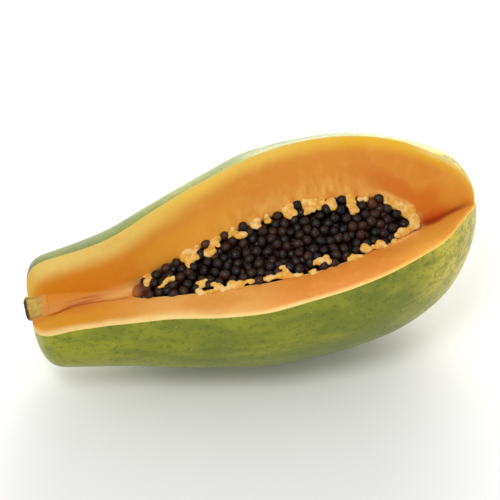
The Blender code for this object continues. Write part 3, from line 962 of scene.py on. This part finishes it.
# %% Lumps of pulp and seeds on the rim
LUMPS_IN_MM = (
    # the pale tag beside the wrapped seed, and the leaf that lies over the first seeds
    (77.6, 5.6, 2.5), (76.0, 7.6, 1.6), (78.8, 3.2, 1.3),
    (92.4, 14.0, 1.6), (90.0, 13.6, 1.6), (87.6, 14.8, 1.4), (85.6, 16.0, 1.1), (83.2, 16.4, 0.8),
    # tags that hang from the far rim
    (101.6, 2.8, 1.9), (105.2, 4.8, 3.1), (104.0, 7.6, 1.9), (109.2, 4.8, 2.3), (103.6, 10.0, 1.0),
    (111.2, 0.8, 1.5), (118.0, 6.4, 2.8), (116.0, 4.4, 1.5), (120.4, 6.0, 1.9), (122.8, 0.4, 2.5),
    (124.4, 4.0, 1.3), (122.0, -1.6, 1.4), (124.8, -1.6, 1.8), (134.0, -0.4, 2.1), (132.4, 1.2, 1.3),
    (135.2, -2.8, 1.9), (139.6, 3.6, 2.3), (136.8, 2.8, 1.6), (142.0, 4.0, 1.4), (148.8, 0.0, 2.3),
    (151.2, 2.0, 1.9), (150.8, -2.4, 2.3), (157.6, 0.4, 2.1), (157.2, -2.8, 1.8), (170.0, -2.0, 2.3),
    (169.6, 1.6, 1.6), (173.2, 1.6, 2.8), (174.8, 3.2, 1.8), (171.6, 4.0, 1.8), (172.8, -3.2, 2.3),
    (182.8, 4.0, 2.8), (185.2, 1.2, 2.4), (181.6, 6.0, 1.1), (186.4, 3.6, 2.3), (188.4, -0.4, 2.8),
    (190.4, 1.6, 2.5), (190.8, 4.4, 1.3), (193.6, 1.2, 1.6), (198.8, 1.6, 2.6), (199.2, 4.8, 2.4),
    (209.6, 0.0, 1.5), (211.6, 7.2, 2.6), (209.6, 4.4, 1.5), (213.6, 8.0, 1.6), (211.6, 1.6, 1.6),
    (210.8, 9.6, 1.4), (217.6, 0.0, 1.6), (221.2, 0.0, 1.8),
    # the lip round the end of the heap
    (249.2, 5.6, 2.0), (249.8, 8.8, 2.0), (248.6, 12.0, 1.9),
    (233.6, 0.8, 1.7), (236.0, -0.4, 1.7), (238.0, 0.8, 1.8), (240.4, 1.2, 2.0), (242.8, 2.0, 2.4),
    (240.0, 3.2, 1.4), (245.4, 3.4, 2.4), (246.8, 6.2, 2.2), (247.2, 9.0, 2.0), (246.4, 11.8, 2.0),
    (244.0, 14.2, 1.9), (238.0, 20.0, 2.5), (241.0, 17.4, 2.1), (235.2, 23.2, 1.7), (232.4, 28.8, 1.8),
    # knobs along the near rim
    (222.4, 32.4, 2.5), (224.8, 34.0, 1.4), (220.4, 34.4, 1.4), (212.4, 35.2, 2.6), (214.4, 36.4, 1.8),
    (210.4, 36.0, 1.5), (204.0, 42.0, 2.4), (201.2, 43.2, 1.6), (206.4, 41.6, 1.4), (187.2, 40.0, 2.1),
    (182.8, 40.8, 2.3), (180.8, 40.8, 1.4), (188.0, 42.4, 1.9), (176.8, 45.6, 0.8), (177.6, 48.0, 0.9),
    (159.6, 35.6, 0.8), (160.8, 38.8, 1.6), (159.6, 41.2, 2.4), (156.4, 40.4, 1.8), (162.4, 42.4, 1.8),
    (165.2, 44.0, 1.1), (168.4, 45.2, 0.9), (149.6, 38.8, 1.1), (152.4, 40.0, 1.4), (137.2, 36.0, 0.9),
    (140.0, 37.6, 0.9), (127.2, 34.4, 2.3), (132.0, 36.4, 2.5), (129.2, 36.8, 1.9), (118.4, 32.8, 2.1),
    (117.2, 29.6, 1.1), (120.0, 34.0, 1.8), (122.8, 36.0, 1.3), (109.2, 25.2, 1.4), (108.4, 28.0, 1.1),
    (106.4, 31.2, 1.8), (108.8, 33.6, 1.1), (111.6, 34.0, 0.9), (114.8, 34.4, 0.9),
)
RIM_SEEDS_IN_MM = (
    (80.8, 8.8), (83.6, 4.0), (90.0, 2.0), (96.8, 2.0), (117.2, -1.2), (129.6, -1.2), (142.0, -2.0),
    (164.4, -0.4), (178.0, -2.0), (178.8, 4.0), (195.2, 6.0), (206.0, 0.0), (217.6, 4.4),
    (229.6, -1.2), (240.8, 11.6),
)
LUMPS = [tuple(value / 1000 for value in lump) for lump in LUMPS_IN_MM]
RIM_SEEDS = [tuple(value / 1000 for value in place) for place in RIM_SEEDS_IN_MM]
print(len(LUMPS), "lumps of pulp and", len(RIM_SEEDS), "seeds placed by hand")

# %% [markdown]
# The seeds
#
# A ripe papaya holds hundreds of seeds, each in a glossy dark coat. One seed is modelled with few
# faces: a small ball, drawn out, and narrowed at the end where it hung from the wall. Copies with
# their own size, turn and tint are laid in two layers over the heap. The spots are tried with a
# wide spacing first and then with closer ones, so that the seeds look packed and not strewn.

# %% One seed
SEED = Vector((0.0038, 0.0034, 0.0033))
NARROW_FROM = 0.3 * SEED.x
seed = fresh(bpy.ops.mesh.primitive_ico_sphere_add, "papaya_seeds", subdivisions=2, radius=1)
start_edit(seed)
bpy.ops.mesh.select_all(action="SELECT")
bpy.ops.transform.resize(value=SEED)
pick([v.index for v in bmesh.from_edit_mesh(seed.data).verts if v.co.x > NARROW_FROM])
bpy.ops.transform.resize(value=(1.04, 0.84, 0.84), center_override=(NARROW_FROM, 0, 0))
end_edit()
print("a seed has", len(seed.data.polygons), "faces and is", round(seed.dimensions.x * 1000, 1), "mm long")

# %% Laying the seeds
dice = random.Random(7)
SAC_PLACE, SAC_FROM_FAR, SAC_REACH = 0.0724, 0.0084, 0.0066
ROOM_AT_PULP, FULL_WIDTH = 0.0014, 0.050


def free_of_pulp(x, from_far):
    """Whether a seed fits here without covering a lump of pulp or the wrapped seed."""
    if math.hypot(x - SAC_PLACE, from_far - SAC_FROM_FAR) < SAC_REACH:
        return False
    return all(
        math.hypot(x - place, from_far - reach) > size + ROOM_AT_PULP for place, reach, size in LUMPS
    )


def lay_seeds(spots, spacings, tries, sink, rough, margins, keep_off):
    """Adds spots spread over the heap, none nearer to another than the spacing of its round."""
    for spacing in spacings:
        for _ in range(tries):
            x = dice.uniform(HEAP_START, HEAP_END - 0.0015)
            span = heap_width(x) - sum(margins)
            from_far = margins[0] + dice.random() * span
            lift = dice.uniform(-1, 1) * rough - sink
            if span < 0 or dice.random() > heap_width(x) / FULL_WIDTH:
                continue
            if keep_off and not free_of_pulp(x, from_far):
                continue
            spot, _ = on_heap(x, from_far, lift)
            if all((spot - other).length > spacing for other, _ in spots):
                spots.append((spot, from_far))
    return spots


top_spots = [(on_heap(x, from_far, -0.0004)[0], from_far) for x, from_far in RIM_SEEDS]
lay_seeds(
    top_spots, spacings=(0.0060, 0.0055, 0.0050), tries=6000, sink=0.0010, rough=0.0008,
    margins=(0.0012, 0.0018), keep_off=True,
)
low_spots = lay_seeds(
    [], spacings=(0.0060, 0.0054), tries=4000, sink=0.0040, rough=0.0008,
    margins=(0.0026, 0.0034), keep_off=False,
)
print(len(top_spots), "seeds on top and", len(low_spots), "under them")

# %% Copies of the seed
RIM_WIDTH, RIM_BROWN, HEAP_BROWN = 0.003, 0.75, 0.29
copies = []
for spot, from_far in top_spots + low_spots:
    copy = seed.copy()
    copy.data = seed.data.copy()
    turn = Euler([dice.uniform(0, 2 * math.pi) for _ in range(3)]).to_matrix().to_4x4()
    size = Matrix.Diagonal([dice.uniform(0.90, 1.08) for _ in range(3)]).to_4x4()
    copy.data.transform(Matrix.Translation(spot) @ turn @ size)
    brown = RIM_BROWN if from_far < RIM_WIDTH else HEAP_BROWN
    keep(copy, "tint", [brown * dice.random() ** 2] * len(copy.data.vertices))
    bpy.context.scene.collection.objects.link(copy)
    copies.append(copy)
bpy.data.objects.remove(seed)
seeds = joined(copies, "papaya_seeds")
shade(seeds)
lay_down(seeds)
print("laid", len(copies), "seeds")

# %% The seeds' finish
seed_finish = bpy.data.materials.new("seed_coat")
shader, place, _, _ = begin(seed_finish)
ripple = place.noise(900, 3)
colour = kept(place, "tint").between(paint(15, 9, 7), paint(100, 54, 32))
colour = (ripple.rise(0.48, 0.70) * 0.35).between(colour, paint(38, 26, 20))
feed(shader, Base_Color=colour, Roughness=ripple * 0.22 + 0.20, Specular_IOR_Level=0.30)
feed(shader, Normal=ripple.bump(0.45, 0.0005))
add_material(seeds, seed_finish)
hand_over(seeds, "seed_heap")

# %% [markdown]
# The bed under the seeds
#
# Between the top seeds one sees only more seeds in the dark. A filled copy of the hollow, cut off
# below the heap's line, closes the view there. It is cut by a folded grid, as the fruit was.

# %% The bed
BED_DEPTH, BED_GAP = 0.0056, 0.0002


def bed_radius(x):
    """The hollow's radius, a little smaller, and rounded off where the heap ends."""
    share = max(0.0, 1 - (HEAP_END - x) / HEAP_END_LENGTH)
    return max(0.0, cavity_radius(x) - BED_GAP) * math.sqrt(max(0.0, 1 - share * share))


def heap_fold(x):
    """Both halves of the grid lie in the heap's line, a little below it."""
    far_edge, near_edge, facing = heap_line(x)
    middle = (far_edge + near_edge) / 2 - facing * BED_DEPTH
    along = (near_edge - far_edge).normalized()
    tilt = math.atan2(along.y, -along.x) - math.pi
    return {"near": (tilt, at(0, middle)), "far": (tilt, at(0, middle))}


bed = turned_form(
    "seed_bed", HEAP_START - 0.005, HEAP_END, bed_radius, cavity_middle, segments=64, rings=48
)
lid = folded_grid(
    "lid", HEAP_START - 0.012, HEAP_END + 0.01, 24, (0, 0.01, 0.02, 0.035), heap_fold
)
thicken(lid, (0, -0.035, 0.035))
combine(bed, "DIFFERENCE", lid)
shade(bed, 40)
lay_down(bed)
bed_finish = bpy.data.materials.new("seed_bed")
shader, place, _, _ = begin(bed_finish)
murk = place.noise(300, 2)
colour = murk.rise(0.40, 0.65).between(paint(20, 15, 13), paint(52, 32, 22))
feed(shader, Base_Color=colour, Roughness=0.6)
add_material(bed, bed_finish)
hand_over(bed, "seed_heap")

# %% [markdown]
# The pulp
#
# The pulp is made in the places that the seeds left free. Each lump is a flattened ball that faces
# out of the heap. A small lump near the near rim gets a ball on each side, which makes it a ridge,
# and a tag near the far rim gets a row of balls up to the rim, which roots it there. A voxel Remesh
# runs neighbours together into one skin, a Smooth modifier relaxes it, and a cloud texture makes it
# uneven, the way torn soft tissue is.

# %% Balls of pulp
pulp_dice = random.Random(23)
ROOM_AT_RIM_SEED = 0.0042
balls = []


def ball(spot, size, way):
    """One small ball of pulp, flattened along a way."""
    piece = fresh(bpy.ops.mesh.primitive_ico_sphere_add, "ball", subdivisions=2, radius=1)
    turn = way.to_track_quat("Z", "X").to_matrix().to_4x4()
    piece.data.transform(Matrix.Translation(spot) @ turn @ Matrix.Diagonal((*size, 1)))
    balls.append(piece)


def away_from_rim_seeds(x, from_far):
    """Whether a ball here leaves the seeds that sit on the far rim in sight."""
    return all(
        math.hypot(x - place, from_far - reach) > ROOM_AT_RIM_SEED for place, reach in RIM_SEEDS
    )


for x, from_far, half_width in LUMPS:
    spot, out = on_heap(x, from_far, 0.0006 if from_far < 0.0025 else 0.0012)
    wide = 1.22 * half_width + 0.0002
    ball(spot, (wide, wide * pulp_dice.uniform(0.85, 1.15), 0.45 * half_width + 0.0007), out)
    if from_far > 0.020 and half_width < 0.0015:
        for beside in (-1.3, 1.3):
            ball(on_heap(x + beside * wide, from_far, 0.0008)[0], (wide, wide, 0.0012), out)
    root = from_far - 1.5 * wide
    while from_far < 0.0075 and half_width > 0.0013 and root > -0.003 and away_from_rim_seeds(x, root):
        spot, out = on_heap(x, root, 0.0002)
        ball(spot, (wide, wide, 0.4 * half_width + 0.0006), out)
        root -= 1.2 * wide
print(len(balls), "balls of pulp")

# %% Running the pulp together
pulp = joined(balls, "seed_pulp")
finish_with(pulp, "REMESH", mode="VOXEL", voxel_size=0.00042)
finish_with(pulp, "SMOOTH", factor=0.6, iterations=14)
roughen(pulp, "pulp_lumps", 0.0034, 0.0014, mid_level=0.42)
finish_with(pulp, "SMOOTH", factor=0.5, iterations=2)
shade(pulp)
lay_down(pulp)
pulp_finish = bpy.data.materials.new("pulp")
shader, place, _, _ = begin(pulp_finish)
threads = place.noise(420, 3)
pale = place.noise(170, 2)
colour = threads.rise(0.35, 0.65).between(paint(223, 162, 62), paint(235, 186, 86))
colour = (pale.rise(0.50, 0.62) * 0.75).between(colour, paint(240, 208, 140))
feed(shader, Base_Color=colour, Roughness=threads * 0.3 + 0.32)
feed(shader, Subsurface_Weight=0.15, Subsurface_Scale=0.002, Subsurface_Radius=(1.0, 0.5, 0.2))
feed(shader, Specular_IOR_Level=0.3, Normal=threads.bump(0.25, 0.0005))
add_material(pulp, pulp_finish)
hand_over(pulp, "seed_heap")

# %% [markdown]
# A seed still in its sac
#
# At the heap's neck end one seed is still wrapped in its brown skin, larger than the bare ones. It
# is a ball of its own, drawn out, with a coarse cloud for its folds.

# %% The wrapped seed
SAC_SIZE, SAC_SINK = (0.0062, 0.0046, 0.0050), 0.0012
wrapped = fresh(bpy.ops.mesh.primitive_ico_sphere_add, "wrapped_seed", subdivisions=4, radius=1)
spot, _ = on_heap(SAC_PLACE, SAC_FROM_FAR, -SAC_SINK)
start_edit(wrapped)
bpy.ops.mesh.select_all(action="SELECT")
bpy.ops.transform.resize(value=SAC_SIZE)
bpy.ops.transform.translate(value=spot)
end_edit()
roughen(wrapped, "sac_folds", 0.003, 0.0012)
shade(wrapped)
lay_down(wrapped)
wrapped_finish = bpy.data.materials.new("seed_sac")
shader, place, x, _ = begin(wrapped_finish)
folds = place.noise(320, 3)
colour = x.rise(0.0662, 0.0735).between(paint(180, 112, 50), paint(78, 40, 14))
colour = (folds.rise(0.46, 0.66) * 0.5).between(colour, paint(136, 74, 28))
feed(shader, Base_Color=colour, Roughness=folds * 0.3 + 0.34, Specular_IOR_Level=0.3)
feed(shader, Normal=folds.bump(0.4, 0.0006))
add_material(wrapped, wrapped_finish)
hand_over(wrapped, "seed_heap")

# %% [markdown]
# The stub of the stem
#
# The stem was snapped off short, and the knife has halved what was left: dry dark bark round a
# pale olive cut face. It is a cylinder with a few more rings cut in by bisecting, narrowed towards
# its tip in the flesh and at its broken end, and then sliced lengthwise.

# %% The stub
RINGS = (
    (-STEM_OUT, 0.50), (-0.0027, 0.72), (-0.0020, 0.88), (-0.0008, 0.98),
    (0.0010, 1.00), (0.0060, 1.00), (STEM_IN, 0.98),
)
stub = fresh(
    bpy.ops.mesh.primitive_cylinder_add, "stem_stub_bark", vertices=40, radius=STEM_RADIUS,
    depth=STEM_OUT + STEM_IN, location=(STEM_END + (STEM_IN - STEM_OUT) / 2, 0, STEM_HEIGHT),
    rotation=(0, math.pi / 2, 0),
)
start_edit(stub)
for out, _ in RINGS[1:-1]:
    bpy.ops.mesh.select_all(action="SELECT")
    bpy.ops.mesh.bisect(plane_co=(STEM_END + out, 0, 0), plane_no=(1, 0, 0))
for out, share in RINGS:
    x = STEM_END + out
    pick([v.index for v in bmesh.from_edit_mesh(stub.data).verts if abs(v.co.x - x) < 1e-5])
    bpy.ops.transform.resize(value=(1, share, share), center_override=(x, 0, STEM_HEIGHT))
halve(stub)
bpy.ops.mesh.select_all(action="SELECT")
bpy.ops.mesh.quads_convert_to_tris()
bpy.ops.mesh.subdivide(number_cuts=2)
bpy.ops.mesh.normals_make_consistent(inside=False)
end_edit()
roughen(stub, "bark_lumps", 0.003, 0.0007)
print(stub.name, "has", len(stub.data.polygons), "faces")

# %% The stub's two materials
bark_finish = bpy.data.materials.new("stem_bark")
face_finish = bpy.data.materials.new("stem_cut_face")
add_material(stub, bark_finish)
stub.data.materials.append(face_finish)
for face in stub.data.polygons:
    if face.normal.y < -0.75 and face.center.y < 0.0008:
        face.material_index = 1
shade(stub, 35)
lay_down(stub)
print("the cut face has", sum(face.material_index for face in stub.data.polygons), "faces")

# %% The stub's finishes
shader, place, _, _ = begin(bark_finish)
crust = place.noise(700, 4, stretch=(0.5, 1, 1))
colour = crust.rise(0.35, 0.65).between(paint(62, 42, 18), paint(128, 94, 42))
feed(shader, Base_Color=colour, Roughness=0.8, Specular_IOR_Level=0.2, Normal=crust.bump(0.7, 0.0006))
shader, place, x, height = begin(face_finish)
grain = place.noise(600, 3, stretch=(0.25, 1, 1))
uneven = place.noise(420, 3)
inward = x + (uneven - 0.5) * 0.0024
colour = grain.rise(0.35, 0.65).between(paint(176, 144, 52), paint(206, 176, 92))
colour = (uneven.rise(0.50, 0.62) * 0.35).between(colour, paint(156, 122, 44))
colour = inward.rise(STEM_END - 0.0006, STEM_END - 0.0016).between(colour, paint(74, 48, 20))
off_axis = height.math("ABSOLUTE", height - STEM_HEIGHT)
rim_of_stub = (off_axis + (uneven - 0.5) * 0.002).rise(0.0044, 0.0074)
colour = (rim_of_stub * 0.6).between(colour, paint(116, 88, 30))
colour = inward.rise(STEM_END + 0.0055, STEM_END + 0.0095).between(colour, paint(214, 144, 60))
feed(shader, Base_Color=colour, Roughness=0.55, Specular_IOR_Level=0.3, Normal=grain.bump(0.4, 0.0004))
hand_over(stub, "stem_stub")

# %% [markdown]
# The table
#
# A plain pale top is all the fruit stands on.

# %% The table's top
table = fresh(bpy.ops.mesh.primitive_plane_add, "table_top", size=6, location=(0, 0, 0))
table_finish = bpy.data.materials.new("table")
table_finish.use_nodes = True
shader = table_finish.node_tree.nodes["Principled BSDF"]
feed(shader, Base_Color=(0.86, 0.86, 0.85, 1), Roughness=0.9)
add_material(table, table_finish)
table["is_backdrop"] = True

# %% Print the imported model's box and the pieces' box
size = {"cad": [list(corner) for corner in cad_box], "visual": [list(corner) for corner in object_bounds()]}
for name, corners in size.items():
    print(name, [[round(v * 1000, 1) for v in corner] for corner in corners])
